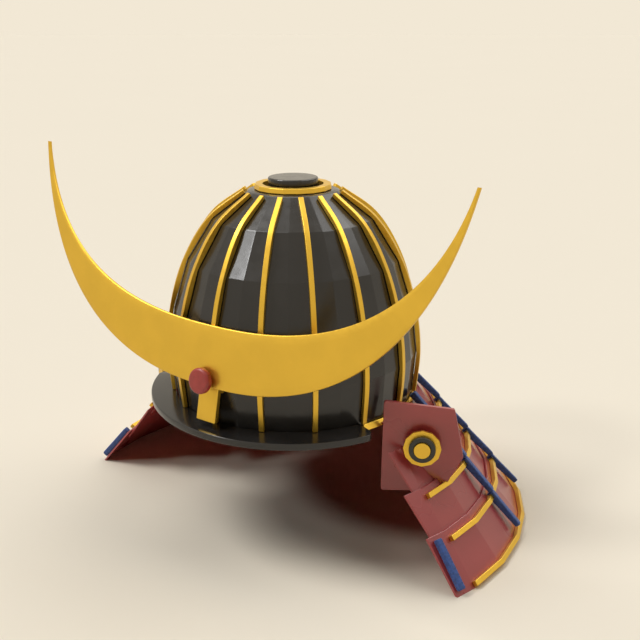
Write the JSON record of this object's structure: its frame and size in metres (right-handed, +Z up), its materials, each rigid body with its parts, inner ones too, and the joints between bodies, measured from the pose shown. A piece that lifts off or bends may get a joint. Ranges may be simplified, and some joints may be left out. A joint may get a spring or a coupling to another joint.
{
  "type": "samurai helmet",
  "caption": "Ribbed domed samurai helmet with a broad crescent front crest, a flat visor, turned-back side plates and a flared, laced neck guard it stands on.",
  "frame": {"origin": "on the floor below the middle of the whole helmet's box", "axes": "+Z up, -Y to the helmet's front, +X to the right in the front view, which is the helmet's longest way"},
  "size_m": [0.439, 0.3532, 0.3346],
  "materials": {
    "black_lacquered_iron": "black lacquer on iron, satin",
    "dark_ring": "black lacquer, satin",
    "gilt_metal": "gilt, satin",
    "red_lacquer": "dark red lacquer, semi-gloss",
    "stud_red": "red lacquer, satin",
    "blue_lacing": "flat braided silk"
  },
  "bodies": {
    "root": {"bowl_shell": "black_lacquered_iron", "base_band": "gilt_metal", "crown_ring": "gilt_metal", "crown_cap": "black_lacquered_iron", "visor": "black_lacquered_iron", "crest_holder": "gilt_metal", "crest_crescent": "gilt_metal", "crest_stud": "stud_red", "rib_01": "gilt_metal", "rib_02": "gilt_metal", "rib_03": "gilt_metal", "rib_04": "gilt_metal", "rib_05": "gilt_metal", "rib_06": "gilt_metal", "rib_07": "gilt_metal", "rib_08": "gilt_metal", "rib_09": "gilt_metal", "rib_10": "gilt_metal", "rib_11": "gilt_metal", "rib_12": "gilt_metal", "rib_13": "gilt_metal", "rib_14": "gilt_metal", "rib_15": "gilt_metal", "rib_16": "gilt_metal", "lame_1": "red_lacquer", "lame_2": "red_lacquer", "lame_3": "red_lacquer", "lame_4": "red_lacquer", "trim_1": "gilt_metal", "trim_2": "gilt_metal", "trim_3": "gilt_metal", "trim_4": "gilt_metal", "turnback_plate_r": "red_lacquer", "disc_gilt_r": "gilt_metal", "disc_ring_r": "dark_ring", "lace_front_r": "blue_lacing", "turnback_plate_l": "red_lacquer", "disc_gilt_l": "gilt_metal", "disc_ring_l": "dark_ring", "lace_front_l": "blue_lacing", "lace_mid_r_1": "blue_lacing", "lace_mid_r_2": "blue_lacing", "lace_mid_r_3": "blue_lacing", "lace_mid_r_4": "blue_lacing", "lace_mid_l_1": "blue_lacing", "lace_mid_l_2": "blue_lacing", "lace_mid_l_3": "blue_lacing", "lace_mid_l_4": "blue_lacing", "lace_back_r_1": "blue_lacing", "lace_back_r_2": "blue_lacing", "lace_back_r_3": "blue_lacing", "lace_back_r_4": "blue_lacing", "lace_back_l_1": "blue_lacing", "lace_back_l_2": "blue_lacing", "lace_back_l_3": "blue_lacing", "lace_back_l_4": "blue_lacing", "lace_centre_1": "blue_lacing", "lace_centre_2": "blue_lacing", "lace_centre_3": "blue_lacing", "lace_centre_4": "blue_lacing"}
  },
  "joints": []
}
